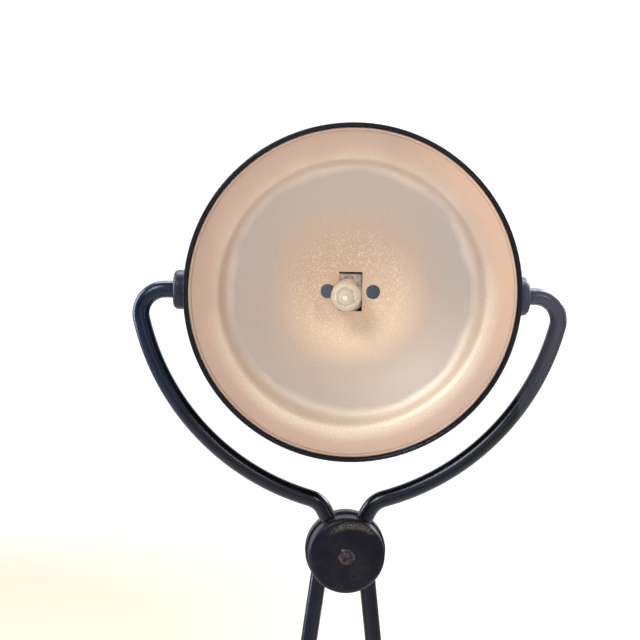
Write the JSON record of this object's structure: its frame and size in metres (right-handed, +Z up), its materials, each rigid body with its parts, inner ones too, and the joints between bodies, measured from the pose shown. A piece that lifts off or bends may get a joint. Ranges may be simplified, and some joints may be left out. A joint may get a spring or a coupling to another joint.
{
  "type": "desk lamp",
  "caption": "Architect desk lamp: round shade in a bent-rod yoke on a jointed two-rod arm, with a weighted round base.",
  "frame": {"origin": "centre of the base pad's underside, on the surface the lamp stands on", "axes": "+Z up; the shade's mouth faces -Y; +X is to the right of someone who faces the mouth"},
  "size_m": [0.2178, 0.218, 0.8804],
  "materials": {
    "rod_black": "satin lacquer",
    "shade_black": "satin lacquer",
    "base_black": "satin lacquer",
    "clutch_black": "satin moulded",
    "reflector_satin": "satin etched",
    "bulb_glass": "clear",
    "filament_tungsten": "drawn",
    "holder_ceramic": "unglazed",
    "bracket_steel": "plated",
    "bright_steel": "zinc plated",
    "aged_steel": "worn plating",
    "brass": "turned",
    "bush_nylon": "machined",
    "friction_fibre": "pressed fibre",
    "lead_sleeve": "silicone sleeve",
    "pad_rubber": "ribbed",
    "plate_steel": "zinc plated",
    "ballast_iron": "as cast",
    "transformer_wrap": "tape wound",
    "white_plastic": "moulded",
    "trim_black": "moulded",
    "rocker_black": "gloss"
  },
  "bodies": {
    "base": {"base_pad": "pad_rubber", "base_plate": "plate_steel", "base_screws": "bright_steel", "base_shell": "base_black", "ballast_ring": "ballast_iron", "transformer": "transformer_wrap", "terminal_block": "white_plastic", "swivel_bush": "bush_nylon", "mains_inlet": "trim_black", "inlet_pins": "brass", "fuse_holder": "trim_black", "switch_bezel": "trim_black"},
    "switch": {"switch_rocker": "rocker_black"},
    "turret": {"turret": "base_black", "swivel_spindle": "bright_steel", "swivel_nut": "bright_steel", "shoulder_axle": "bright_steel", "shoulder_nuts": "bright_steel", "shoulder_washers": "brass"},
    "lower_arm": {"lower_rod_left": "rod_black", "lower_rod_right": "rod_black", "shoulder_hub_left": "clutch_black", "shoulder_hub_right": "clutch_black", "shoulder_bushes": "bush_nylon", "elbow_inner_hub_left": "clutch_black", "elbow_inner_hub_right": "clutch_black", "elbow_spacer": "rod_black", "elbow_axle": "bright_steel", "elbow_nuts": "bright_steel", "elbow_washers": "brass"},
    "upper_arm": {"upper_rod_left": "rod_black", "upper_rod_right": "rod_black", "elbow_outer_hub_left": "clutch_black", "elbow_outer_hub_right": "clutch_black", "elbow_bushes": "bush_nylon", "arm_hub_front": "clutch_black", "arm_hub_rear": "clutch_black", "wrist_friction_disc": "friction_fibre", "wrist_contact_rings": "brass"},
    "yoke": {"wrist_bolt": "aged_steel", "wrist_nut": "aged_steel", "wrist_spring_washer": "aged_steel", "yoke_rod_left": "rod_black", "yoke_rod_right": "rod_black", "front_disc": "clutch_black", "yoke_hub": "clutch_black", "pivot_washers": "brass", "pivot_nuts": "bright_steel"},
    "shade": {"shade_shell": "shade_black", "reflector": "reflector_satin", "pivot_bosses": "clutch_black", "rear_housing": "shade_black", "rear_cap": "shade_black", "lampholder": "holder_ceramic", "lampholder_bracket": "bracket_steel", "bracket_rivets": "bracket_steel", "bulb_glass": "bulb_glass", "bulb_filament": "filament_tungsten", "lampholder_leads": "lead_sleeve"}
  },
  "joints": [
    {"name": "base_swivel", "type": "hinge", "parent": "base", "child": "turret", "pos_m": [0, 0, 0.0476], "axis": [0, 0, 1], "range_deg": [-170, 170]},
    {"name": "shoulder", "type": "hinge", "parent": "turret", "child": "lower_arm", "pos_m": [0, 0, 0.085], "axis": [1, 0, 0], "range_deg": [-25, 40]},
    {"name": "elbow", "type": "hinge", "parent": "lower_arm", "child": "upper_arm", "pos_m": [0, 0.10261, 0.36691], "axis": [1, 0, 0], "range_deg": [-20, 75]},
    {"name": "wrist_roll", "type": "hinge", "parent": "upper_arm", "child": "yoke", "pos_m": [0, 0.06711, 0.66516], "axis": [0, 0.9976, 0.0698], "range_deg": [-90, 90]},
    {"name": "shade_tilt", "type": "hinge", "parent": "yoke", "child": "shade", "pos_m": [0, 0.05792, 0.79664], "axis": [1, 0, 0], "range_deg": [-135, 135]},
    {"name": "switch_rock", "type": "hinge", "parent": "base", "child": "switch", "pos_m": [0, -0.066, 0.0438], "axis": [1, 0, 0], "range_deg": [-16, 0]}
  ]
}
